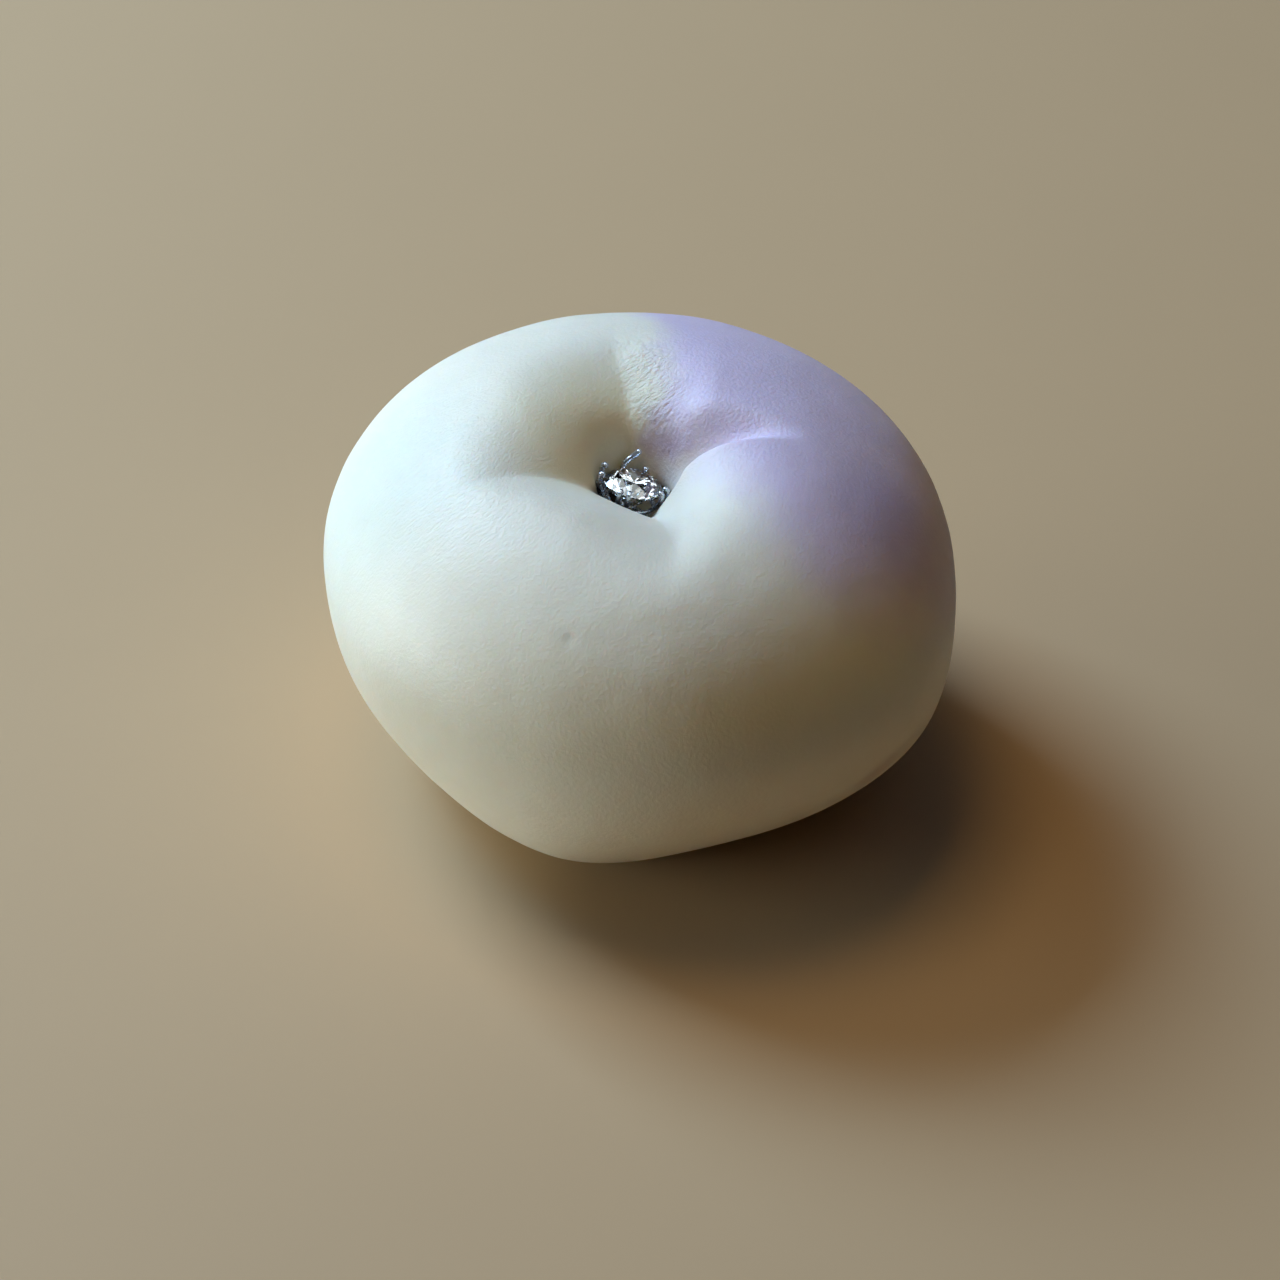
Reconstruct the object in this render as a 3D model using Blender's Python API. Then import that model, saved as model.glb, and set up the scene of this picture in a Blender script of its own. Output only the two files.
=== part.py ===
"""A sweet of white and lilac bean-paste dough, pinched into lobes, with a claw-set stone in its dimple.

Metres, +Z up. The origin is on the surface that the sweet stands on, under the middle of its box.
X runs left to right and Y front to back, as the sweet is seen from the front.
"""

import math

import bmesh
import bpy
import numpy as np
from mathutils import Euler, Matrix, Vector

MM = 0.001
GAP = 0.3 * MM

# The ball of dough before it is pinched: half its width, where it is widest, and its two half heights.
HALF_WIDTH = 23.94 * MM
WAIST_AT = (0.25 * MM, -0.03 * MM)
WAIST_HEIGHT = 18.5 * MM
CROWN_HEIGHT = 14.7 * MM
FOOT_DEPTH = 22.2 * MM
FOOT_ROUNDING = 1.5 * MM
FOOT_SHIFT = (-0.58 * MM, 0.84 * MM)

# Hand shaping of the outline: (bulges round it, share of the radius, heading of one bulge in degrees).
WAIST_BULGES = ((2, 0.040, -45.0), (3, 0.013, -52.5), (4, 0.008, 41.5))
FOOT_BULGES = ((2, 0.038, 10.0), (3, 0.035, -6.0), (4, 0.072, -12.0))

# The fuller corner at the front, a little below the waist: heading, spread and share of the radius.
CORNER_HEADING = math.radians(-106.0)
CORNER_SPREAD = math.radians(24.0)
CORNER_BULGE = 0.032
# Its course in height, in half heights of the ball: fullness, drop of its middle and how fast it fades.
CORNER_RISE = (1.1, 0.25, 1.6)

# The basin that the whole top sinks into, and the bowl-shaped dimple in the middle of it.
PINCH_AT = (0.0 * MM, -1.6 * MM)
BASIN_DEPTH = 1.8 * MM
BASIN_RADIUS = 14.0 * MM
BOWL_AT = (-0.22 * MM, 0.01 * MM)
BOWL_DEPTH = 9.0 * MM
BOWL_RADIUS = 3.18 * MM
BOWL_FALL = 3.0
BOWL_ROUND = 0.8
PINCH_BLEND = 2.6

# Creases pressed out of the dimple: heading and curl in degrees, reach, depth, how soft the bottom is. Then
# width, steepness and narrowing of the shoulder that lies anticlockwise of the crease and of the other one.
CREASES = (
    dict(heading=195.2, curl=-1.6, reach=14.0 * MM, depth=5.4 * MM, softness=0.35 * MM,
         wide=(11.98 * MM, 7.5 * MM), steep=(1.75, 1.8), narrowing=(0.97, 0.0)),
    dict(heading=96.0, curl=4.0, reach=15.5 * MM, depth=4.93 * MM, softness=0.35 * MM,
         wide=(8.75 * MM, 5.59 * MM), steep=(1.75, 1.65), narrowing=(0.0, -0.6)),
    dict(heading=19.4, curl=-12.3, reach=12.6 * MM, depth=6.28 * MM, softness=1.1 * MM,
         wide=(6.67 * MM, 1.01 * MM), steep=(2.27, 2.07), narrowing=(0.95, 0.525)),
    dict(heading=-55.0, curl=-29.0, reach=15.5 * MM, depth=5.36 * MM, softness=0.6 * MM,
         wide=(8.82 * MM, 5.86 * MM), steep=(2.95, 1.75), narrowing=(-1.25, -0.48)),
)
CREASE_FADE = 1.6

# Mesh of the dough: rows crowd towards the dimple.
COLUMNS = 96
ROWS = 54
ROW_CROWDING = 1.35

# The stone with its setting leans in the dimple. Heights along its own axis start at the stone's girdle.
JEWEL_AT = (-0.45 * MM, -1.0 * MM, 26.95 * MM)
JEWEL_LEAN = (math.radians(-14.4), math.radians(13.1), 0.0)

# The cup pressed round it: its rim falls to the right and back, and flares. The steepness of the flare and
# the rounding of its edge each have one value in front and one behind.
SEAT_RADIUS = 3.2 * MM
SEAT_DEPTH = 4.6 * MM
SEAT_FALL = (0.30, 0.04)
SEAT_FLARE = (5.1, 3.0)
SEAT_ROUNDING = (0.34 * MM, 1.5 * MM)

# The round brilliant: eightfold facets over a thin girdle.
STONE_RADIUS = 2.15 * MM
TABLE_SHARE = 0.57
CROWN_ANGLE = math.radians(36.0)
PAVILION_ANGLE = math.radians(40.8)
GIRDLE_HALF = 0.07 * MM
STAR_SHARE = 0.52
LOWER_HALF_SHARE = 0.24

# The setting: claws on two rings. These are bent over the stone's edge: (heading in degrees, tip's height).
CLAWS = (
    (-9.0, 0.36 * MM),
    (-34.0, 0.4 * MM),
    (69.0, 0.42 * MM),
    (158.0, 0.72 * MM),
    (186.0, 0.5 * MM),
    (-98.0, 0.36 * MM),
    (-114.0, 0.3 * MM),
)
CLAW_RADIUS = 0.18 * MM
CLAW_STANCE = STONE_RADIUS + GAP + CLAW_RADIUS
CLAW_FOOT = (1.25 * MM, -2.35 * MM)
CLAW_KNEE = (CLAW_STANCE - 0.12 * MM, -0.45 * MM)
CLAW_HOOK = 0.2 * MM

# The claw that stands proud behind the stone: (heading in degrees, distance out, height).
PROUD_CLAW = (
    (98.0, 1.25 * MM, -2.35 * MM),
    (103.0, 2.48 * MM, -0.45 * MM),
    (107.0, 2.64 * MM, 0.25 * MM),
    (103.0, 2.66 * MM, 0.66 * MM),
    (95.0, 2.68 * MM, 1.06 * MM),
    (88.0, 2.64 * MM, 1.52 * MM),
)
PROUD_THICKNESS = 1.15
RING_RADIUS = 0.21 * MM
RING_TURN = math.radians(4.0)
RINGS = ((1.25 * MM, -2.35 * MM), (1.9 * MM, -1.35 * MM))


def bulge(heading, bulges):
    """Share by which a hand-shaped outline stands outside its circle at these headings."""
    return sum(size * np.cos(count * (heading - math.radians(at))) for count, size, at in bulges)


def rising(value):
    """0 below 0, 1 above 1, and a smooth step between."""
    value = np.clip(value, 0, 1)
    return value * value * (3 - 2 * value)


def lower_of(first, second, rounding):
    """The lower of two surfaces, with the edge where they meet rounded."""
    apart = np.clip(0.5 + 0.5 * (second - first) / rounding, 0, 1)
    return second * (1 - apart) + first * apart - rounding * apart * (1 - apart)


def ball(polar, heading):
    """Points of the unpinched dough. The grid of angles is drawn towards the dimple, the form isn't."""
    sine, cosine = np.sin(polar), np.cos(polar)
    drawn = np.clip(cosine, 0, 1) ** 2 / HALF_WIDTH
    x = sine * np.cos(heading) + drawn * PINCH_AT[0]
    y = sine * np.sin(heading) + drawn * PINCH_AT[1]
    sine, heading = np.hypot(x, y), np.arctan2(y, x)
    cosine = np.where(cosine > 0, np.sqrt(np.clip(1 - sine ** 2, 0, 1)), cosine)
    low = rising(-cosine)
    corner = np.exp(-((heading - CORNER_HEADING) / CORNER_SPREAD) ** 2)
    corner = corner * rising(CORNER_RISE[0] - abs(cosine + CORNER_RISE[1]) * CORNER_RISE[2])
    radius = 1 + bulge(heading, WAIST_BULGES) + low * bulge(heading, FOOT_BULGES) + CORNER_BULGE * corner
    radius = HALF_WIDTH * sine * radius
    x = WAIST_AT[0] + radius * np.cos(heading) + low * FOOT_SHIFT[0]
    y = WAIST_AT[1] + radius * np.sin(heading) + low * FOOT_SHIFT[1]
    z = WAIST_HEIGHT + cosine * np.where(cosine > 0, CROWN_HEIGHT, FOOT_DEPTH)
    return x, y, z


def pinch(x, y):
    """Depth to which the top is pressed in at these places: basin, bowl and creases."""
    bowl = np.hypot(x - BOWL_AT[0], y - BOWL_AT[1]) / BOWL_RADIUS
    depths = [BOWL_DEPTH * np.exp(BOWL_FALL * (BOWL_ROUND - np.hypot(bowl, BOWL_ROUND)))]
    x, y = x - PINCH_AT[0], y - PINCH_AT[1]
    away = np.hypot(x, y)
    for crease in CREASES:
        turned = math.radians(crease["heading"]) + math.radians(crease["curl"]) * away / crease["reach"]
        offset = np.arctan2(y, x) - turned
        along, across = away * np.cos(offset), away * np.sin(offset)
        beside = np.hypot(across, crease["softness"]) - crease["softness"]
        width = np.where(across > 0, crease["wide"][0], crease["wide"][1])
        power = np.where(across > 0, crease["steep"][0], crease["steep"][1])
        narrowing = np.where(across > 0, crease["narrowing"][0], crease["narrowing"][1])
        width = width * (1 - narrowing * np.clip(along / crease["reach"], 0, 1))
        shoulder = np.clip(1 - beside / width, 0, 1) ** power
        fade = rising(1 + along / (2 * MM)) * np.clip(1 - along / crease["reach"], 0, 1) ** CREASE_FADE
        depths.append(crease["depth"] * fade * shoulder)
    basin = BASIN_DEPTH * (1 - rising(away / BASIN_RADIUS))
    return basin + sum(depth ** PINCH_BLEND for depth in depths) ** (1 / PINCH_BLEND)


def from_front_to_back(values, y):
    """The first value in front of the setting, passing over to the second behind it."""
    share = rising(0.5 + (y - JEWEL_AT[1]) / (2 * SEAT_RADIUS))
    return values[0] + (values[1] - values[0]) * share


def seat(x, y):
    """Heights of the cup that the setting has pressed into the dimple, and of the flare round its rim."""
    across, along = x - JEWEL_AT[0], y - JEWEL_AT[1]
    away = np.hypot(across, along) / SEAT_RADIUS
    rim = JEWEL_AT[2] - SEAT_FALL[0] * across - SEAT_FALL[1] * along
    cup = rim - SEAT_DEPTH * np.sqrt(np.clip(1 - away ** 2, 0, 1))
    return np.where(away < 1, cup, rim + from_front_to_back(SEAT_FLARE, y) * SEAT_RADIUS * (away - 1))


def rest_on_board(z):
    """Heights with all below the board pressed flat onto it, and a small rounding above the edge."""
    rounded = (z + FOOT_ROUNDING) ** 2 / (4 * FOOT_ROUNDING)
    return np.where(z < -FOOT_ROUNDING, 0, np.where(z > FOOT_ROUNDING, z, rounded))


def dough_points(polar, heading):
    """Places on the finished dough, one row for each pair of angles."""
    x, y, z = ball(polar, heading)
    upper = rising(2 * np.cos(polar))
    z = z - pinch(x, y) * upper
    z = np.where(upper > 0, lower_of(z, seat(x, y), from_front_to_back(SEAT_ROUNDING, y)), z)
    return np.column_stack((x, y, rest_on_board(z)))


def add_material(thing, name, colour, roughness, metallic=0.0, transmission=0.0, index=1.5):
    material = bpy.data.materials.new(name)
    material.use_nodes = True
    shader = material.node_tree.nodes["Principled BSDF"]
    shader.inputs["Base Color"].default_value = (*colour, 1.0)
    shader.inputs["Roughness"].default_value = roughness
    shader.inputs["Metallic"].default_value = metallic
    shader.inputs["Transmission Weight"].default_value = transmission
    shader.inputs["IOR"].default_value = index
    thing.data.materials.append(material)


def add_object(name, data, collection):
    thing = bpy.data.objects.new(name, data)
    collection.objects.link(thing)
    return thing


def make_dough(collection):
    mesh = bpy.data.meshes.new("dough")
    shape = bmesh.new()
    bmesh.ops.create_uvsphere(shape, u_segments=COLUMNS, v_segments=ROWS, radius=1)
    unit = np.array([vertex.co for vertex in shape.verts])
    polar = math.pi * (np.arccos(np.clip(unit[:, 2], -1, 1)) / math.pi) ** ROW_CROWDING
    for vertex, place in zip(shape.verts, dough_points(polar, np.arctan2(unit[:, 1], unit[:, 0]))):
        vertex.co = place
    shape.to_mesh(mesh)
    shape.free()
    mesh.shade_smooth()
    dough = add_object("dough", mesh, collection)
    add_material(dough, "white_dough", (0.83, 0.81, 0.73), 0.5)
    return dough


def ring_of(count, radius, height, turn=0.0):
    """Corners of a level polygon round the axis."""
    angles = [turn + 2 * math.pi * k / count for k in range(count)]
    return [Vector((radius * math.cos(a), radius * math.sin(a), height)) for a in angles]


def stone_corners():
    """Corners of a brilliant cut, all of which lie on its convex hull."""
    half = math.pi / 8
    table = STONE_RADIUS * TABLE_SHARE
    crown = math.tan(CROWN_ANGLE)
    pavilion = math.tan(PAVILION_ANGLE)
    star = table + (STONE_RADIUS - table) * STAR_SHARE
    lower = STONE_RADIUS * LOWER_HALF_SHARE
    corners = ring_of(8, table, GIRDLE_HALF + (STONE_RADIUS - table) * crown)
    corners += ring_of(8, star, GIRDLE_HALF + (STONE_RADIUS - star * math.cos(half)) * crown, half)
    corners += ring_of(16, STONE_RADIUS, GIRDLE_HALF) + ring_of(16, STONE_RADIUS, -GIRDLE_HALF)
    corners += ring_of(8, lower, -GIRDLE_HALF - (STONE_RADIUS - lower * math.cos(half)) * pavilion, half)
    return corners + [Vector((0, 0, -GIRDLE_HALF - STONE_RADIUS * pavilion))]


def make_stone(collection):
    mesh = bpy.data.meshes.new("gem_stone")
    shape = bmesh.new()
    for corner in stone_corners():
        shape.verts.new(corner)
    bmesh.ops.convex_hull(shape, input=shape.verts)
    bmesh.ops.recalc_face_normals(shape, faces=shape.faces)
    shape.to_mesh(mesh)
    shape.free()
    stone = add_object("gem_stone", mesh, collection)
    add_material(stone, "clear_stone", (0.97, 0.98, 1.0), 0.0, transmission=1.0, index=2.4)
    return stone


def claw_path(heading, top):
    """Middle line of a claw, from the lower ring to its tip: (heading, distance out, height)."""
    foot, drop = CLAW_FOOT
    path = [(heading, foot, drop), (heading, *CLAW_KNEE), (heading, CLAW_STANCE, 0.0)]
    for angle in (0, 40, 80):
        turned = math.radians(angle)
        out = CLAW_STANCE - CLAW_HOOK * (1 - math.cos(turned))
        path.append((heading, out, top - CLAW_HOOK * (1 - math.sin(turned))))
    return path


def make_claw(path, collection, thick=1.0):
    """A round wire along a path of (heading, distance out, height)."""
    curve = bpy.data.curves.new("claw", "CURVE")
    curve.dimensions = "3D"
    curve.bevel_depth = CLAW_RADIUS * thick
    curve.bevel_resolution = 2
    curve.use_fill_caps = True
    spline = curve.splines.new("POLY")
    spline.points.add(len(path) - 1)
    for point, (heading, out, up) in zip(spline.points, path):
        turned = math.radians(heading)
        point.co = (out * math.cos(turned), out * math.sin(turned), up, 1)
    drawn = add_object("claw_line", curve, collection)
    bpy.context.view_layer.update()
    mesh = bpy.data.meshes.new_from_object(drawn.evaluated_get(bpy.context.evaluated_depsgraph_get()))
    bpy.data.objects.remove(drawn)
    shape = bmesh.new()
    shape.from_mesh(mesh)
    bmesh.ops.remove_doubles(shape, verts=shape.verts, dist=0.00001)
    shape.to_mesh(mesh)
    shape.free()
    return mesh


def make_setting(collection, scraps):
    proud = make_claw(PROUD_CLAW, scraps, PROUD_THICKNESS)
    for heading, top in CLAWS:
        claw = make_claw(claw_path(heading, top), scraps)
        add_object("claw", claw, scraps)
    for radius, height in RINGS:
        bpy.ops.mesh.primitive_torus_add(
            major_radius=radius, minor_radius=RING_RADIUS, major_segments=32, minor_segments=8,
            location=(0, 0, height), rotation=(0, 0, RING_TURN))
        ring = bpy.context.object
        ring.name = "gem_ring"
        ring.users_collection[0].objects.unlink(ring)
        scraps.objects.link(ring)
    setting = add_object("gem_setting", proud, collection)
    join = setting.modifiers.new("join", "BOOLEAN")
    join.operation = "UNION"
    join.operand_type = "COLLECTION"
    join.collection = scraps
    bpy.context.view_layer.update()
    joined = bpy.data.meshes.new_from_object(setting.evaluated_get(bpy.context.evaluated_depsgraph_get()))
    setting.modifiers.clear()
    setting.data = joined
    joined.name = "gem_setting"
    for scrap in list(scraps.objects):
        bpy.data.objects.remove(scrap)
    joined.shade_smooth()
    joined.set_sharp_from_angle(angle=math.radians(50))
    add_material(setting, "bright_metal", (0.62, 0.63, 0.66), 0.18, metallic=1.0)
    return setting


def main():
    for old in list(bpy.data.objects):
        bpy.data.objects.remove(old)
    collection = bpy.data.collections.new("namagashi")
    scraps = bpy.data.collections.new("scraps")
    bpy.context.scene.collection.children.link(collection)
    bpy.context.scene.collection.children.link(scraps)
    make_dough(collection)
    lean = Euler(JEWEL_LEAN, "ZYX").to_matrix().to_4x4()
    for jewel in (make_stone(collection), make_setting(collection, scraps)):
        jewel.matrix_world = Matrix.Translation(JEWEL_AT) @ lean
    bpy.data.collections.remove(scraps)


main()
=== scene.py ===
"""The looks of a pinched white and lilac bean-paste sweet with a small claw-set stone in its dimple.

Metres, +Z up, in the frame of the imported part. From the front, X runs right and Y runs away.
"""

import math

import bmesh
import bpy
import numpy as np
from mathutils import Euler, Matrix, Vector, noise

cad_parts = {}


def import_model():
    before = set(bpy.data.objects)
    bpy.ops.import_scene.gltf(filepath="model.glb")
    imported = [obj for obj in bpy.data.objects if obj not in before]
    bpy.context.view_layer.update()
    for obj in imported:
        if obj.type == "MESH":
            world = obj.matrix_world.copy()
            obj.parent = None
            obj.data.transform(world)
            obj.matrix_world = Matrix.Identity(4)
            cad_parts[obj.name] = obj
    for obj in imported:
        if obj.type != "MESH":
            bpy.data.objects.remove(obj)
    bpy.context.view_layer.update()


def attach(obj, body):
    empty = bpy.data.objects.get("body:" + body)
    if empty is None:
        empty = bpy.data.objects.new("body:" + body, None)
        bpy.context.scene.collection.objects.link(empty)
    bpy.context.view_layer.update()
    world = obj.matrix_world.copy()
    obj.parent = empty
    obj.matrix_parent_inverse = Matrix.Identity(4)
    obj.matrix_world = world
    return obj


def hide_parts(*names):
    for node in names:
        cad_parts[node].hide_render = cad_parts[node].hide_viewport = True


MM = 0.001

# Camera: the picture is square. The sweet's width in pixels and in metres, and how far below its waist the
# middle of the picture lies, in pixels.
PICTURE = 1280
SWEET_PIXELS = 637
SWEET_WIDTH = 48 * MM
BELOW_WAIST_PIXELS = 70
PIXELS_PER_METRE = SWEET_PIXELS / SWEET_WIDTH
SENSOR = 36.0
CAMERA_ELEVATION = math.radians(42.0)
CAMERA_DISTANCE = 400 * MM
WAIST_CENTRE = Vector((0.07 * MM, -0.94 * MM, 18.5 * MM))
AIM_BELOW_WAIST = BELOW_WAIST_PIXELS / PIXELS_PER_METRE

# The ball of dough before it is pinched.
HALF_WIDTH = 23.94 * MM
WAIST_AT = (0.25 * MM, -0.03 * MM)
WAIST_HEIGHT = 18.5 * MM
CROWN_HEIGHT = 14.7 * MM
FOOT_DEPTH = 22.2 * MM
FOOT_ROUNDING = 1.5 * MM
FOOT_SHIFT = (-0.58 * MM, 0.84 * MM)

# Hand shaping of the outline: (bulges round it, share of the radius, heading of one bulge in degrees).
WAIST_BULGES = ((2, 0.040, -45.0), (3, 0.013, -52.5), (4, 0.008, 41.5))
FOOT_BULGES = ((2, 0.038, 10.0), (3, 0.035, -6.0), (4, 0.072, -12.0))

# The fuller corner at the front, a little below the waist: heading, spread and share of the radius.
CORNER_HEADING = math.radians(-106.0)
CORNER_SPREAD = math.radians(24.0)
CORNER_BULGE = 0.032
# Its course in height, in half heights of the ball: fullness, drop of its middle and how fast it fades.
CORNER_RISE = (1.1, 0.25, 1.6)

# The basin that the whole top sinks into, and the bowl-shaped dimple in the middle of it.
PINCH_AT = (0.0 * MM, -1.6 * MM)
BASIN_DEPTH = 1.8 * MM
BASIN_RADIUS = 14.0 * MM
BOWL_AT = (-0.22 * MM, 0.01 * MM)
BOWL_DEPTH = 9.0 * MM
BOWL_RADIUS = 3.18 * MM
BOWL_FALL = 3.0
BOWL_ROUND = 0.8
PINCH_BLEND = 2.6

# Creases pressed out of the dimple: heading and curl in degrees, reach, depth, how soft the bottom is. Then
# width, steepness and narrowing of the shoulder that lies anticlockwise of the crease and of the other one.
CREASES = (
    dict(heading=195.2, curl=-1.6, reach=14.0 * MM, depth=5.4 * MM, softness=0.35 * MM,
         wide=(11.98 * MM, 7.5 * MM), steep=(1.75, 1.8), narrowing=(0.97, 0.0)),
    dict(heading=96.0, curl=4.0, reach=15.5 * MM, depth=4.93 * MM, softness=0.35 * MM,
         wide=(8.75 * MM, 5.59 * MM), steep=(1.75, 1.65), narrowing=(0.0, -0.6)),
    dict(heading=19.4, curl=-12.3, reach=12.6 * MM, depth=6.28 * MM, softness=1.1 * MM,
         wide=(6.67 * MM, 1.01 * MM), steep=(2.27, 2.07), narrowing=(0.95, 0.525)),
    dict(heading=-55.0, curl=-29.0, reach=15.5 * MM, depth=5.36 * MM, softness=0.6 * MM,
         wide=(8.82 * MM, 5.86 * MM), steep=(2.95, 1.75), narrowing=(-1.25, -0.48)),
)
CREASE_FADE = 1.6

# Fine mesh of the dough: rows crowd towards the dimple.
COLUMNS = 400
ROWS = 248
ROW_EVEN = 0.2
ROW_POWER = 3.2

# Relief left by the hands: (size of a swelling, its height).
SWELLINGS = ((9.0 * MM, 0.16 * MM), (3.6 * MM, 0.035 * MM), (1.5 * MM, 0.010 * MM))

# Creased skin on the slope behind the stone: the ends of the band, places in it and the distances over
# which the finest creases fade round them, its half width, the run of the creases, how far they are drawn
# out, their spacing and their height.
CREASED_BAND = ((-0.6 * MM, 9.6 * MM, 31.1 * MM), (2.2 * MM, 2.6 * MM, 29.1 * MM))
CREASED_AT = ((0.4 * MM, 7.9 * MM, 30.9 * MM), (1.6 * MM, 5.2 * MM, 30.4 * MM))
CREASED_REACH = (0.8 * MM, 2.9 * MM)
CREASED_HALF_WIDTH = 2.2 * MM
SKIN_RUN = (0.76, 0.37, 0.534)
CREASED_DRAW = 0.24
CREASED_SPACING = 0.16 * MM
CREASED_HEIGHT = 0.055 * MM

# Where the skin is leathery: the middle of the left lobe, and the distances over which it fades.
LEATHER_AT = (-15.0 * MM, -1.0 * MM, 29.0 * MM)
LEATHER_REACH = (4.0 * MM, 17.0 * MM)

# Where the skin is grainy: behind the stone and over the lilac lobe.
GRAINY_AT = (6.0 * MM, 5.0 * MM, 30.0 * MM)
GRAINY_REACH = (4.0 * MM, 12.0 * MM)

# Finer patterns of the skin: their scales per metre, then their shares of the bump's height.
EDGE_SCALE = 330.0
EDGE_WANDER = 3.0 * MM
MOTTLE_SCALE = 420.0
BROAD_SCALE = 900.0
LEATHER_SCALE = 3000.0
LEATHER_LINE = 0.09
FINE_SCALE = 3600.0
STREAK_SCALE = 5000.0
SKIN_DRAW = 0.3
BUMP_HEIGHT = 0.04 * MM
BROAD_BUMP = 0.5
LEATHER_BUMP = 0.32
FINE_BUMP = 0.65
CREASED_BUMP = 4.4
GRAINY_BUMP = 1.1

# Single marks: (place, radius, height).
MARKS = (
    ((-7.2 * MM, -7.5 * MM, 31.0 * MM), 1.6 * MM, 0.05 * MM),
    ((-5.1 * MM, -18.1 * MM, 26.9 * MM), 0.45 * MM, -0.05 * MM),
)

# The tuck near the foot at the right: a shallow groove between two places.
TUCK = ((15.6 * MM, -17.3 * MM, 11.2 * MM), (19.6 * MM, -14.2 * MM, 13.6 * MM))
TUCK_WIDTH = 0.9 * MM
TUCK_DEPTH = 0.22 * MM

# The stone and its setting.
JEWEL_AT = (-0.45 * MM, -1.0 * MM, 26.95 * MM)
JEWEL_LEAN = (math.radians(-14.4), math.radians(13.1), 0.0)
SEAT_AT = (-0.3 * MM, -1.2 * MM)
SEAT_RADIUS = 2.88 * MM
SEAT_DEPTH = 4.6 * MM
SEAT_FALL = (0.30, 0.04)
# Steepness of the flare round the rim and the rounding where it meets the slopes, each in front and behind.
SEAT_FLARE = (5.1, 3.0)
SEAT_ROUNDING = (0.34 * MM, 1.5 * MM)
STONE_RADIUS = 2.28 * MM
TABLE_SHARE = 0.57
CROWN_ANGLE = math.radians(36.0)
PAVILION_ANGLE = math.radians(40.8)
GIRDLE_HALF = 0.07 * MM
STAR_SHARE = 0.52
LOWER_HALF_SHARE = 0.24
GIRDLE_SIDES = 96
CLAW_RADIUS = 0.2 * MM
CLAW_STANCE = 2.6 * MM
CLAW_FOOT = (1.25 * MM, -2.35 * MM)
CLAW_KNEE = (CLAW_STANCE - 0.12 * MM, -0.45 * MM)

# Claws: (heading in degrees, height of the tip).
CLAWS = (
    (-9.0, 0.36 * MM),
    (-34.0, 0.4 * MM),
    (69.0, 0.42 * MM),
    (158.0, 0.72 * MM),
    (186.0, 0.5 * MM),
    (-98.0, 0.36 * MM),
    (-114.0, 0.3 * MM),
)
CLAW_HOOK = 0.2 * MM

# The claw that stands proud behind the stone: (heading in degrees, distance out, height).
PROUD_CLAW = (
    (98.0, 1.25 * MM, -2.35 * MM),
    (103.0, 2.48 * MM, -0.45 * MM),
    (107.0, 2.62 * MM, 0.25 * MM),
    (103.0, 2.66 * MM, 0.66 * MM),
    (95.0, 2.68 * MM, 1.06 * MM),
    (88.0, 2.64 * MM, 1.52 * MM),
)
PROUD_THICKNESS = 1.15
RING_RADIUS = 0.2 * MM
RINGS = ((1.25 * MM, -2.35 * MM), (1.9 * MM, -1.35 * MM))

# Painted shade on the dough under the stone, which lies in deep shade: depths below the stone's girdle, and
# reach.
SHADE_UNDER_STONE_DEPTHS = (0.0 * MM, 0.9 * MM)
SHADE_UNDER_STONE_REACH = (3.2 * MM, 4.2 * MM)

# Colours, linear.
CREAM = ((0.845, 0.78, 0.63), (0.89, 0.835, 0.70))
LILAC = ((0.68, 0.56, 0.72), (0.74, 0.62, 0.79))
# Painted shade under the stone.
PAINTED_SHADE_UNDER_STONE = (0.035, 0.025, 0.02)

# The lilac fades in along these directions, between two distances: left, front, lower front and foot edges.
LILAC_EDGES = (
    ((1.0, 0.0, -0.65), -20.5 * MM, -16.5 * MM),
    ((0.844, 0.536, 0.0), -0.6 * MM, 6.6 * MM),
    ((0.0, 0.8, 0.6), 0.0 * MM, 9.0 * MM),
    ((0.0, 0.0, 1.0), 10.0 * MM, 23.0 * MM),
)
# It also runs down to the stone: the middle of that part, and the distances over which it fades.
LILAC_INNER = ((2.6 * MM, 2.8 * MM, 29.6 * MM), 1.5 * MM, 4.0 * MM)

# Painted shade: darker tints in two valleys that run to the stone, on the right side and at the right end of
# the
# # lilac, and a tint that dims the brightly lit left lobe: (place, distances over which it fades, tint).
PAINTED_SHADES = (
    ((2.1 * MM, 1.7 * MM, 27.6 * MM), (0.6 * MM, 2.8 * MM), (0.92, 0.84, 0.84)),
    ((-3.6 * MM, 1.8 * MM, 28.6 * MM), (2.0 * MM, 10.0 * MM), (1.0, 0.965, 0.80)),
    ((20.5 * MM, 0.0 * MM, 17.0 * MM), (1.0 * MM, 11.0 * MM), (0.76, 0.70, 0.78)),
    ((18.5 * MM, -5.6 * MM, 27.2 * MM), (1.0 * MM, 7.5 * MM), (0.78, 0.77, 0.87)),
    ((-19.0 * MM, -0.5 * MM, 25.0 * MM), (3.0 * MM, 13.0 * MM), (0.90, 0.97, 1.0)),
)

SPECK = (0.42, 0.37, 0.30)
SPECK_REACH = (0.0 * MM, 0.75 * MM)
SPECK_SHARE = 0.28
# Painted shade in the tuck's groove: its colour, the distances over which it fades, and its share.
TUCK_PAINTED_SHADE = (0.62, 0.44, 0.36)
TUCK_SHADE_REACH = (0.5 * MM, 3.2 * MM)
TUCK_SHADE_SHARE = 0.45

FLOOR = (0.58, 0.385, 0.20)
FLOOR_SIZE = 3.0

# Soft lights: (place, the place they face, size, watts, colour), and the weak light from all round.
LIT_AT = (0.0, 0.0, 20.0 * MM)
WINDOW = ((-0.599, -0.021, 0.051), LIT_AT, (0.36, 0.20), 2.8, (0.82, 0.965, 1.0))
SKY = ((-0.347, 0.291, 0.414), LIT_AT, (0.26, 0.26), 4.35, (0.42, 0.67, 1.0))
ROOM = ((-0.108, 0.062, 0.607), LIT_AT, (0.26, 0.26), 0.79, (1.0, 0.70, 0.30))
AMBIENT_COLOUR = (1.0, 0.94, 0.86)
AMBIENT_STRENGTH = 0.005

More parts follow.
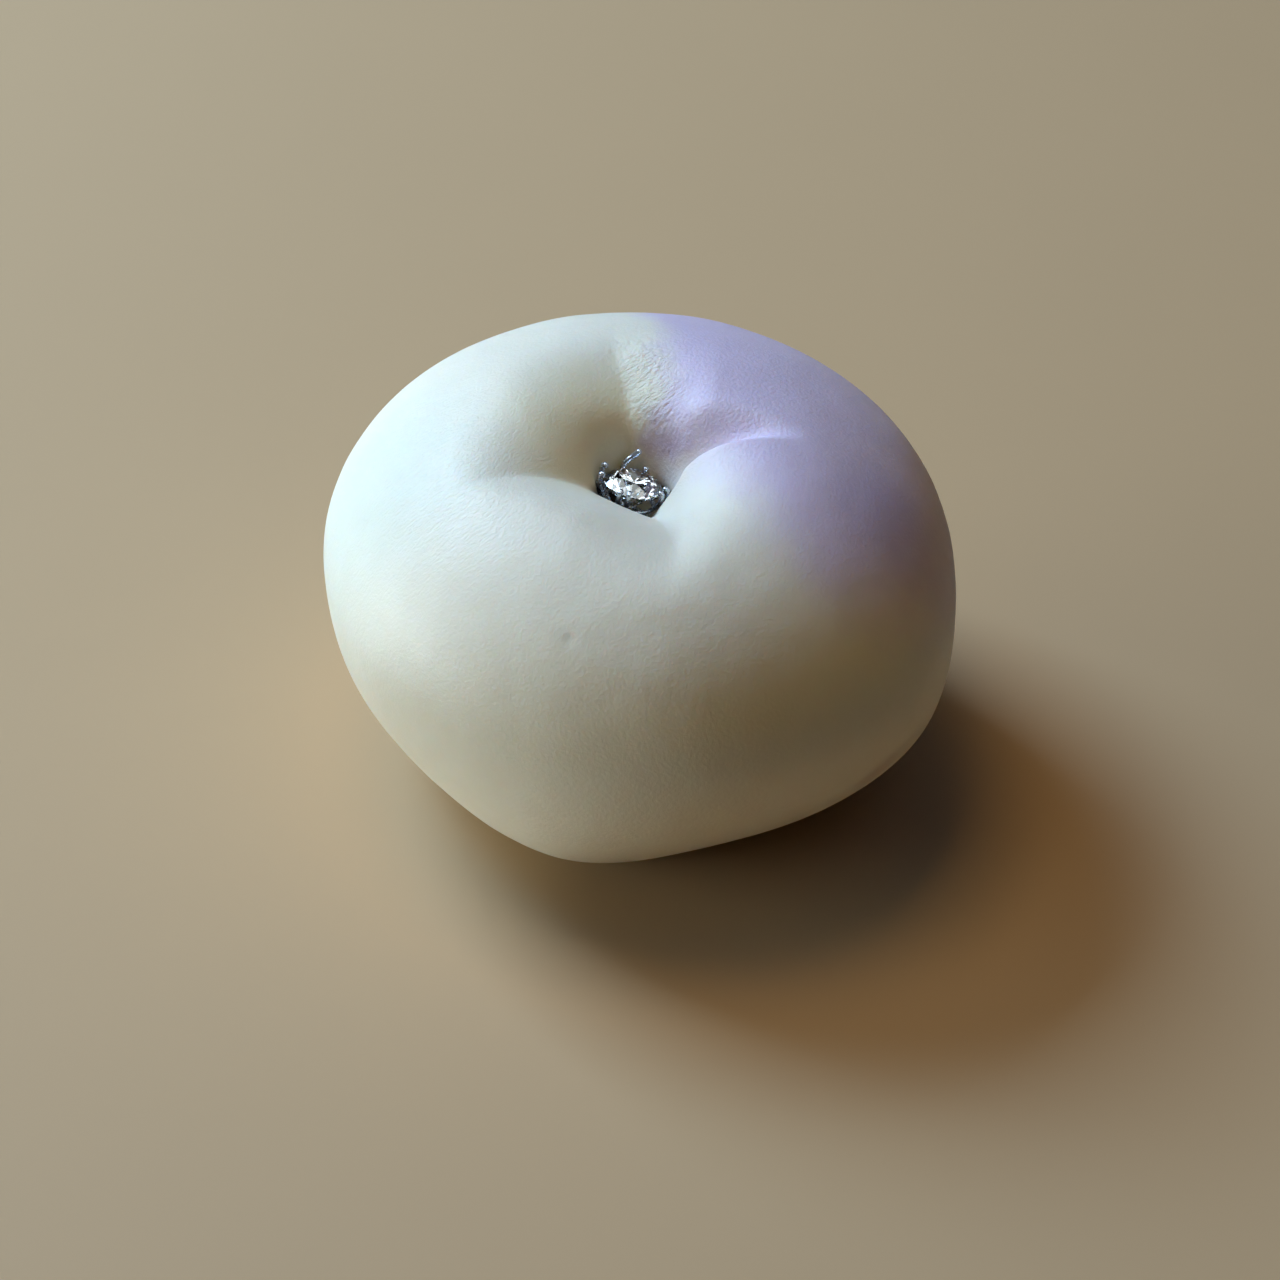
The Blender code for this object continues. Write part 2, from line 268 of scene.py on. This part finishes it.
# Cards mirrored in the stone: (name, heading and height in degrees, watts).
CARD_DISTANCE = 0.6
CARD_SIZE = 0.27
CARD_COLOUR = (0.86, 0.96, 1.0)
CARDS = (
    ("card_back", 135.0, 60.0, 0.4),
    ("card_top", 0.0, 84.0, 0.55),
    ("card_right", 0.0, 60.0, 0.35),
    ("card_left", 180.0, 60.0, 0.55),
    ("card_front", 315.0, 60.0, 0.5),
)


def bulge(heading, bulges):
    """Share by which a hand-shaped outline stands outside its circle at these headings."""
    return sum(size * np.cos(count * (heading - math.radians(at))) for count, size, at in bulges)


def rising(value):
    """0 below 0, 1 above 1, and a smooth step between."""
    value = np.clip(value, 0, 1)
    return value * value * (3 - 2 * value)


def lower_of(first, second, rounding):
    """The lower of two surfaces, with the edge where they meet rounded."""
    apart = np.clip(0.5 + 0.5 * (second - first) / rounding, 0, 1)
    return second * (1 - apart) + first * apart - rounding * apart * (1 - apart)


def ball(polar, heading):
    """Points of the unpinched dough. The grid of angles is drawn towards the dimple, the form isn't."""
    sine, cosine = np.sin(polar), np.cos(polar)
    drawn = np.clip(cosine, 0, 1) ** 2 / HALF_WIDTH
    x = sine * np.cos(heading) + drawn * PINCH_AT[0]
    y = sine * np.sin(heading) + drawn * PINCH_AT[1]
    sine, heading = np.hypot(x, y), np.arctan2(y, x)
    cosine = np.where(cosine > 0, np.sqrt(np.clip(1 - sine ** 2, 0, 1)), cosine)
    low = rising(-cosine)
    corner = np.exp(-((heading - CORNER_HEADING) / CORNER_SPREAD) ** 2)
    corner = corner * rising(CORNER_RISE[0] - abs(cosine + CORNER_RISE[1]) * CORNER_RISE[2])
    radius = 1 + bulge(heading, WAIST_BULGES) + low * bulge(heading, FOOT_BULGES) + CORNER_BULGE * corner
    radius = HALF_WIDTH * sine * radius
    x = WAIST_AT[0] + radius * np.cos(heading) + low * FOOT_SHIFT[0]
    y = WAIST_AT[1] + radius * np.sin(heading) + low * FOOT_SHIFT[1]
    z = WAIST_HEIGHT + cosine * np.where(cosine > 0, CROWN_HEIGHT, FOOT_DEPTH)
    return x, y, z


def away_from_line(places, ends):
    """Distance of each place from the straight line between two ends."""
    start, end = np.array(ends[0]), np.array(ends[1])
    share = np.clip((places - start) @ (end - start) / ((end - start) @ (end - start)), 0, 1)
    return np.linalg.norm(places - start - share[..., None] * (end - start), axis=-1)


def pinch(x, y):
    """Depth to which the top is pressed in at these places: basin, dimple and creases."""
    bowl = np.hypot(x - BOWL_AT[0], y - BOWL_AT[1]) / BOWL_RADIUS
    depths = [BOWL_DEPTH * np.exp(BOWL_FALL * (BOWL_ROUND - np.hypot(bowl, BOWL_ROUND)))]
    x, y = x - PINCH_AT[0], y - PINCH_AT[1]
    away = np.hypot(x, y)
    for crease in CREASES:
        turned = math.radians(crease["heading"]) + math.radians(crease["curl"]) * away / crease["reach"]
        offset = np.arctan2(y, x) - turned
        along, across = away * np.cos(offset), away * np.sin(offset)
        beside = np.hypot(across, crease["softness"]) - crease["softness"]
        width = np.where(across > 0, crease["wide"][0], crease["wide"][1])
        power = np.where(across > 0, crease["steep"][0], crease["steep"][1])
        narrowing = np.where(across > 0, crease["narrowing"][0], crease["narrowing"][1])
        width = width * (1 - narrowing * np.clip(along / crease["reach"], 0, 1))
        shoulder = np.clip(1 - beside / width, 0, 1) ** power
        fade = rising(1 + along / (2 * MM)) * np.clip(1 - along / crease["reach"], 0, 1) ** CREASE_FADE
        depths.append(crease["depth"] * fade * shoulder)
    basin = BASIN_DEPTH * (1 - rising(away / BASIN_RADIUS))
    return basin + sum(depth ** PINCH_BLEND for depth in depths) ** (1 / PINCH_BLEND)


def behind_seat(y):
    """0 in front of the setting, rising to 1 behind it."""
    return rising(0.5 + (y - SEAT_AT[1]) / (2 * SEAT_RADIUS))


def seat(x, y):
    """Heights of the cup that the setting has pressed into the dimple, and of the flare round its rim."""
    away = np.hypot(x - SEAT_AT[0], y - SEAT_AT[1]) / SEAT_RADIUS
    rim = JEWEL_AT[2] - SEAT_FALL[0] * (x - JEWEL_AT[0]) - SEAT_FALL[1] * (y - JEWEL_AT[1])
    cup = rim - SEAT_DEPTH * np.sqrt(np.clip(1 - away ** 2, 0, 1))
    flare = SEAT_FLARE[0] + (SEAT_FLARE[1] - SEAT_FLARE[0]) * behind_seat(y)
    return np.where(away < 1, cup, rim + flare * SEAT_RADIUS * (away - 1))


def rest_on_board(z):
    """Heights with all below the board pressed flat onto it, and a small rounding above the edge."""
    rounded = (z + FOOT_ROUNDING) ** 2 / (4 * FOOT_ROUNDING)
    return np.where(z < -FOOT_ROUNDING, 0, np.where(z > FOOT_ROUNDING, z, rounded))


def dough_points(polar, heading):
    """Places on the finished dough, one row for each pair of angles."""
    x, y, z = ball(polar, heading)
    upper = rising(2 * np.cos(polar))
    z = z - pinch(x, y) * upper
    rounding = SEAT_ROUNDING[0] + (SEAT_ROUNDING[1] - SEAT_ROUNDING[0]) * behind_seat(y)
    z = np.where(upper > 0, lower_of(z, seat(x, y), rounding), z)
    return np.column_stack((x, y, rest_on_board(z)))


def relief(places):
    """Height of the hand-made unevenness at each place, along the surface's normal."""
    height = np.zeros(len(places))
    for size, lift in SWELLINGS:
        height += lift * np.array([noise.noise(Vector(place) / size) for place in places])
    for centre, radius, lift in MARKS:
        away = np.linalg.norm(places - np.array(centre), axis=1) / radius
        height += lift * np.exp(-away ** 2)
    tuck = np.exp(-(away_from_line(places, TUCK) / TUCK_WIDTH) ** 2)
    band = np.exp(-(away_from_line(places, CREASED_BAND) / CREASED_HALF_WIDTH) ** 4)
    drawn = places - (1 - CREASED_DRAW) * (places @ np.array(SKIN_RUN))[:, None] * np.array(SKIN_RUN)
    creased = [k > 0.01 and noise.noise(Vector(place) / CREASED_SPACING) for k, place in zip(band, drawn)]
    return height - TUCK_DEPTH * tuck + CREASED_HEIGHT * band * np.array(creased, float)


def add_object(name, mesh):
    thing = bpy.data.objects.new(name, mesh)
    bpy.context.scene.collection.objects.link(thing)
    return thing


def make_dough():
    mesh = bpy.data.meshes.new("dough_skin")
    shape = bmesh.new()
    bmesh.ops.create_uvsphere(shape, u_segments=COLUMNS, v_segments=ROWS, radius=1)
    unit = np.array([vertex.co for vertex in shape.verts])
    share = np.arccos(np.clip(unit[:, 2], -1, 1)) / math.pi
    polar = math.pi * (ROW_EVEN * share + (1 - ROW_EVEN) * share ** ROW_POWER)
    for vertex, place in zip(shape.verts, dough_points(polar, np.arctan2(unit[:, 1], unit[:, 0]))):
        vertex.co = place
    shape.to_mesh(mesh)
    shape.free()
    mesh.update()
    places = np.array([vertex.co for vertex in mesh.vertices])
    normals = np.array([normal.vector for normal in mesh.vertex_normals])
    upright = np.clip(places[:, 2] / (2 * MM), 0, 1)
    places += normals * (relief(places) * upright)[:, None]
    mesh.vertices.foreach_set("co", places.ravel())
    mesh.shade_smooth()
    mesh.update()
    return add_object("dough_skin", mesh)


def ring_of(count, radius, height, turn=0.0):
    """Corners of a level polygon round the axis."""
    angles = [turn + 2 * math.pi * k / count for k in range(count)]
    return [Vector((radius * math.cos(a), radius * math.sin(a), height)) for a in angles]


def grind(shape, first, second, third):
    """Cuts a flat facet through three points and takes away what lies outside it."""
    normal = (second - first).cross(third - first).normalized()
    if normal.dot(first) < 0:
        normal = -normal
    everything = shape.verts[:] + shape.edges[:] + shape.faces[:]
    cut = bmesh.ops.bisect_plane(shape, geom=everything, plane_co=first, plane_no=normal, clear_outer=True,
                                 dist=0.0000005)
    rim = [item for item in cut["geom_cut"] if isinstance(item, bmesh.types.BMEdge)]
    if len(rim) > 2:
        bmesh.ops.edgeloop_fill(shape, edges=rim)


def make_stone():
    """A round brilliant: a disc ground with main, half and star facets above and below its girdle."""
    shape = bmesh.new()
    depth = 2 * STONE_RADIUS
    bmesh.ops.create_cone(shape, cap_ends=True, segments=GIRDLE_SIDES, radius1=STONE_RADIUS,
                          radius2=STONE_RADIUS, depth=depth)
    half = math.pi / 8
    table = STONE_RADIUS * TABLE_SHARE
    star = table + (STONE_RADIUS - table) * STAR_SHARE
    lower = STONE_RADIUS * LOWER_HALF_SHARE
    crown, pavilion = math.tan(CROWN_ANGLE), math.tan(PAVILION_ANGLE)
    tops = ring_of(8, table, GIRDLE_HALF + (STONE_RADIUS - table) * crown)
    stars = ring_of(8, star, GIRDLE_HALF + (STONE_RADIUS - star * math.cos(half)) * crown, half)
    lows = ring_of(8, lower, -GIRDLE_HALF - (STONE_RADIUS - lower * math.cos(half)) * pavilion, half)
    over = ring_of(16, STONE_RADIUS, GIRDLE_HALF)
    under = ring_of(16, STONE_RADIUS, -GIRDLE_HALF)
    culet = Vector((0, 0, -GIRDLE_HALF - STONE_RADIUS * pavilion))
    grind(shape, tops[0], tops[3], tops[5])
    for k in range(8):
        after = (k + 1) % 8
        grind(shape, over[2 * k], stars[k], stars[k - 1])
        grind(shape, under[2 * k], lows[k], culet)
        grind(shape, stars[k], over[2 * k], over[2 * k + 1])
        grind(shape, stars[k], over[2 * k + 1], over[(2 * k + 2) % 16])
        grind(shape, lows[k], under[2 * k], under[2 * k + 1])
        grind(shape, lows[k], under[2 * k + 1], under[(2 * k + 2) % 16])
        grind(shape, tops[k], tops[after], stars[k])
    bmesh.ops.recalc_face_normals(shape, faces=shape.faces)
    mesh = bpy.data.meshes.new("stone_facets")
    shape.to_mesh(mesh)
    shape.free()
    return add_object("stone_facets", mesh)


def claw_path(heading, top):
    """Middle line of a claw from the lower ring to its tip over the stone."""
    foot, drop = CLAW_FOOT
    path = [(heading, foot, drop), (heading, *CLAW_KNEE), (heading, CLAW_STANCE, 0.0)]
    for angle in (0, 30, 60, 80):
        turned = math.radians(angle)
        out = CLAW_STANCE - CLAW_HOOK * (1 - math.cos(turned))
        path.append((heading, out, top - CLAW_HOOK * (1 - math.sin(turned))))
    return path


def make_claw(path, thick=1.0):
    """A round wire along a path of (heading, distance out, height), ending in a bead."""
    curve = bpy.data.curves.new("claw", "CURVE")
    curve.dimensions = "3D"
    curve.bevel_depth = CLAW_RADIUS * thick
    curve.bevel_resolution = 5
    curve.use_fill_caps = True
    spline = curve.splines.new("BEZIER")
    spline.bezier_points.add(len(path) - 1)
    for point, (heading, out, up) in zip(spline.bezier_points, path):
        turned = math.radians(heading)
        point.co = (out * math.cos(turned), out * math.sin(turned), up)
        point.handle_left_type = point.handle_right_type = "AUTO"
    tip = spline.bezier_points[-1].co.copy()
    drawn = add_object("claw", curve)
    bpy.context.view_layer.update()
    mesh = bpy.data.meshes.new_from_object(drawn.evaluated_get(bpy.context.evaluated_depsgraph_get()))
    bpy.data.objects.remove(drawn)
    shape = bmesh.new()
    shape.from_mesh(mesh)
    bead = Matrix.Translation(tip) @ Matrix.Scale(CLAW_RADIUS * 1.15, 4)
    bmesh.ops.create_uvsphere(shape, u_segments=24, v_segments=16, radius=1, matrix=bead)
    shape.to_mesh(mesh)
    shape.free()
    return mesh


def make_setting():
    shape = bmesh.new()
    for heading, top in CLAWS:
        shape.from_mesh(make_claw(claw_path(heading, top)))
    shape.from_mesh(make_claw(PROUD_CLAW, PROUD_THICKNESS))
    for radius, height in RINGS:
        bpy.ops.mesh.primitive_torus_add(
            major_radius=radius, minor_radius=RING_RADIUS, major_segments=96, minor_segments=20,
            location=(0, 0, 0))
        ring = bpy.context.object
        ring.data.transform(Matrix.Translation((0, 0, height)))
        shape.from_mesh(ring.data)
        bpy.data.objects.remove(ring)
    mesh = bpy.data.meshes.new("setting_claws")
    shape.to_mesh(mesh)
    shape.free()
    mesh.shade_smooth()
    return add_object("setting_claws", mesh)


class Nodes:
    """A material's nodes, added one after another."""

    def __init__(self, name):
        self.material = bpy.data.materials.new(name)
        self.material.use_nodes = True
        self.tree = self.material.node_tree
        self.shader = self.tree.nodes["Principled BSDF"]

    def put(self, socket, value):
        if isinstance(value, bpy.types.NodeSocket):
            self.tree.links.new(value, socket)
        else:
            socket.default_value = value

    def add(self, kind, inputs, output=0, **settings):
        node = self.tree.nodes.new(kind)
        for name, value in settings.items():
            setattr(node, name, value)
        for name, value in inputs.items():
            self.put(node.inputs[name], value)
        return node.outputs[output]

    def maths(self, operation, *values):
        return self.add("ShaderNodeMath", dict(enumerate(values)), operation=operation)

    def along(self, place, direction):
        """How far a place lies along a direction."""
        return self.add("ShaderNodeVectorMath", {0: place, 1: direction}, output=1, operation="DOT_PRODUCT")

    def step(self, value, low, high, first=0.0, last=1.0):
        inputs = {"Value": value, "From Min": low, "From Max": high, "To Min": first, "To Max": last}
        return self.add("ShaderNodeMapRange", inputs, interpolation_type="SMOOTHSTEP")

    def near(self, place, centre, inner, outer):
        """1 inside a ball, fading to 0 at its outer radius."""
        apart = self.add("ShaderNodeVectorMath", {0: place, 1: centre}, output=1, operation="DISTANCE")
        return self.step(apart, inner, outer, 1.0, 0.0)

    def mix(self, share, first, second):
        node = self.tree.nodes.new("ShaderNodeMix")
        node.data_type = "RGBA"
        self.put(node.inputs["Factor"], share)
        self.put(node.inputs["A"], (*first, 1.0) if isinstance(first, tuple) else first)
        self.put(node.inputs["B"], (*second, 1.0) if isinstance(second, tuple) else second)
        return node.outputs["Result"]

    def multiply(self, share, first, second):
        """The first colour, multiplied by the second to the given share."""
        mixed = self.mix(share, first, second)
        mixed.node.blend_type = "MULTIPLY"
        return mixed

    def grain(self, place, scale, detail=2.0, rough=0.5):
        inputs = {"Vector": place, "Scale": scale, "Detail": detail, "Roughness": rough}
        return self.add("ShaderNodeTexNoise", inputs)

    def drawn(self, place, direction, share):
        """Coordinates shortened along a direction, so that a pattern on them is drawn out along it."""
        back = self.maths("MULTIPLY", self.along(place, direction), share - 1)
        shift = self.add("ShaderNodeVectorMath", {0: direction, "Scale": back}, operation="SCALE")
        return self.add("ShaderNodeVectorMath", {0: place, 1: shift}, operation="ADD")

    def lines(self, place, scale, width, detail=1.0):
        """0 on thin wandering lines, rising to 1 between them."""
        level = self.maths("ABSOLUTE", self.maths("SUBTRACT", self.grain(place, scale, detail), 0.5))
        return self.step(level, 0.0, width)

    def set(self, **values):
        for name, value in values.items():
            self.put(self.shader.inputs[name.replace("_", " ")], value)


def dough_material():
    nodes = Nodes("pinched_dough")
    place = nodes.add("ShaderNodeTexCoord", {}, output="Object")
    wander = {"Vector": place, "Scale": EDGE_SCALE, "Detail": 4.0}
    wobble = nodes.add("ShaderNodeTexNoise", wander, output="Color")
    shift = nodes.add("ShaderNodeVectorMath", {0: wobble, 1: (0.5, 0.5, 0.5)}, operation="SUBTRACT")
    shift = nodes.add("ShaderNodeVectorMath", {0: shift, "Scale": EDGE_WANDER}, operation="SCALE")
    loose = nodes.add("ShaderNodeVectorMath", {0: place, 1: shift}, operation="ADD")
    edges = [nodes.step(nodes.along(loose, way), start, end) for way, start, end in LILAC_EDGES]
    left, front, low, foot = edges
    lilac = nodes.maths("MULTIPLY", front, low)
    lilac = nodes.maths("MULTIPLY", left, nodes.maths("MAXIMUM", lilac, nodes.near(loose, *LILAC_INNER)))
    lilac = nodes.maths("MULTIPLY", lilac, foot)
    mottle = nodes.grain(place, MOTTLE_SCALE, 4.0)
    colour = nodes.mix(lilac, nodes.mix(mottle, *CREAM), nodes.mix(mottle, *LILAC))
    speck = nodes.maths("MULTIPLY", nodes.near(loose, MARKS[1][0], *SPECK_REACH), SPECK_SHARE)
    colour = nodes.mix(speck, colour, SPECK)
    # Painted shade: tints that darken the valleys and the right side, and dim the brightly lit left lobe.
    for centre, reach, shade in PAINTED_SHADES:
        share = nodes.near(loose, centre, *reach)
        colour = nodes.multiply(share, colour, shade)
    # Painted shade: the dough below the stone's girdle and close to it is darkened almost to black.
    upright = Euler(JEWEL_LEAN, "ZYX").to_matrix() @ Vector((0, 0, 1))
    girdle = upright.dot(JEWEL_AT)
    level = nodes.along(place, upright)
    under = nodes.step(level, girdle - SHADE_UNDER_STONE_DEPTHS[1], girdle - SHADE_UNDER_STONE_DEPTHS[0], 1.0, 0.0)
    under_stone_shade = nodes.maths("MULTIPLY", under, nodes.near(place, JEWEL_AT, *SHADE_UNDER_STONE_REACH))
    colour = nodes.mix(under_stone_shade, colour, PAINTED_SHADE_UNDER_STONE)
    # Painted shade in the groove of the tuck.
    middle = tuple((a + b) / 2 for a, b in zip(*TUCK))
    tuck = nodes.maths("MULTIPLY", nodes.near(place, middle, *TUCK_SHADE_REACH), TUCK_SHADE_SHARE)
    colour = nodes.mix(tuck, colour, TUCK_PAINTED_SHADE)
    run = nodes.drawn(place, SKIN_RUN, SKIN_DRAW)
    leathery = nodes.near(place, LEATHER_AT, *LEATHER_REACH)
    creased = nodes.maths("MAXIMUM", *[nodes.near(place, at, *CREASED_REACH) for at in CREASED_AT])
    grainy = nodes.near(place, GRAINY_AT, *GRAINY_REACH)
    leather = nodes.maths("MULTIPLY", nodes.lines(run, LEATHER_SCALE, LEATHER_LINE, 2.0), leathery)
    fine = nodes.grain(place, FINE_SCALE, 3.0, 0.6)
    streaked = nodes.maths("MULTIPLY_ADD", creased, CREASED_BUMP, leathery)
    streaks = nodes.maths("MULTIPLY", nodes.grain(run, STREAK_SCALE, 3.0, 0.6), streaked)
    height = nodes.maths("MULTIPLY_ADD", fine, FINE_BUMP, streaks)
    height = nodes.maths("MULTIPLY_ADD", leather, LEATHER_BUMP, height)
    height = nodes.maths("MULTIPLY_ADD", nodes.grain(place, BROAD_SCALE, 2.0), BROAD_BUMP, height)
    height = nodes.maths("MULTIPLY_ADD", nodes.maths("MULTIPLY", grainy, fine), GRAINY_BUMP, height)
    bump = nodes.add("ShaderNodeBump", {"Height": height, "Strength": 1.0, "Distance": BUMP_HEIGHT})
    nodes.set(Base_Color=colour, Normal=bump, Roughness=nodes.step(fine, 0.2, 0.8, 0.42, 0.6))
    nodes.set(Subsurface_Weight=0.4, Subsurface_Radius=(1.0, 0.62, 0.38), Subsurface_Scale=1.0 * MM)
    nodes.set(Specular_IOR_Level=0.5)
    return nodes.material


def stone_material():
    nodes = Nodes("clear_facets")
    nodes.set(Base_Color=(0.98, 0.985, 1.0, 1.0), Roughness=0.0, Transmission_Weight=1.0, IOR=2.42)
    return nodes.material


def metal_material():
    nodes = Nodes("bright_claws")
    place = nodes.add("ShaderNodeTexCoord", {}, output="Object")
    scuffs = nodes.grain(place, 6000.0, 3.0, 0.6)
    colour = nodes.mix(scuffs, (0.50, 0.53, 0.59), (0.62, 0.64, 0.69))
    bump = nodes.add("ShaderNodeBump", {"Height": scuffs, "Strength": 0.3, "Distance": 0.004 * MM})
    nodes.set(Base_Color=colour, Metallic=1.0, Roughness=nodes.step(scuffs, 0.2, 0.8, 0.2, 0.36), Normal=bump)
    return nodes.material


def floor_material():
    nodes = Nodes("plain_floor")
    place = nodes.add("ShaderNodeTexCoord", {}, output="Object")
    speckle = nodes.grain(place, 60.0, 3.0)
    colour = nodes.mix(speckle, tuple(0.985 * c for c in FLOOR), tuple(1.015 * c for c in FLOOR))
    nodes.set(Base_Color=colour, Roughness=0.7)
    return nodes.material


def make_floor():
    bpy.ops.mesh.primitive_plane_add(size=FLOOR_SIZE)
    floor = bpy.context.object
    floor.name = "floor"
    floor.data.materials.append(floor_material())
    return floor


def add_light(name, place, target, size, power, colour):
    light = bpy.data.lights.new(name, "AREA")
    light.shape = "RECTANGLE"
    light.size, light.size_y = size
    light.energy = power
    light.color = colour
    lamp = bpy.data.objects.new(name, light)
    bpy.context.scene.collection.objects.link(lamp)
    lamp.location = place
    lamp.rotation_euler = (Vector(place) - Vector(target)).to_track_quat("Z", "Y").to_euler()
    return lamp


def add_card(name, heading, height, power):
    """A soft card that shows only in the stone and the metal."""
    heading, height = math.radians(heading), math.radians(height)
    level = math.cos(height)
    way = Vector((math.cos(heading) * level, math.sin(heading) * level, math.sin(height)))
    place = Vector(JEWEL_AT) + way * CARD_DISTANCE
    lamp = add_light(name, place, JEWEL_AT, (CARD_SIZE, CARD_SIZE), power, CARD_COLOUR)
    lamp.visible_diffuse = False


def light_scene():
    for card in CARDS:
        add_card(*card)
    add_light("window", *WINDOW)
    add_light("sky", *SKY)
    room = add_light("room", *ROOM)
    room.visible_transmission = False
    room.visible_glossy = False
    world = bpy.data.worlds.new("soft_room")
    world.use_nodes = True
    world.cycles_visibility.glossy = False
    bpy.context.scene.world = world
    background = world.node_tree.nodes["Background"]
    background.inputs["Color"].default_value = (*AMBIENT_COLOUR, 1.0)
    background.inputs["Strength"].default_value = AMBIENT_STRENGTH


def add_camera():
    camera = bpy.data.objects.new("camera", bpy.data.cameras.new("camera"))
    bpy.context.scene.collection.objects.link(camera)
    back = Vector((0, -math.cos(CAMERA_ELEVATION), math.sin(CAMERA_ELEVATION)))
    up = Vector((0, math.sin(CAMERA_ELEVATION), math.cos(CAMERA_ELEVATION)))
    camera.location = WAIST_CENTRE - up * AIM_BELOW_WAIST + back * CAMERA_DISTANCE
    camera.rotation_euler = back.to_track_quat("Z", "Y").to_euler()
    camera.data.sensor_width = SENSOR
    camera.data.lens = SENSOR * PIXELS_PER_METRE * CAMERA_DISTANCE / PICTURE
    camera.data.clip_start = 0.01
    bpy.context.scene.camera = camera


def main():
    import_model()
    add_camera()
    light_scene()
    make_floor()
    bpy.context.scene.view_settings.view_transform = "Standard"

    dough = make_dough()
    dough.data.materials.append(dough_material())
    stone = make_stone()
    stone.data.materials.append(stone_material())
    setting = make_setting()
    setting.data.materials.append(metal_material())
    lean = Matrix.Translation(JEWEL_AT) @ Euler(JEWEL_LEAN, "ZYX").to_matrix().to_4x4()
    stone.data.transform(lean)
    setting.data.transform(lean)
    dressed = (
        (dough, "dough", "dough"),
        (stone, "gem_stone", "stone"),
        (setting, "gem_setting", "setting"),
    )
    for piece, node, slot in dressed:
        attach(piece, "root")
        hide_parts(node)


main()
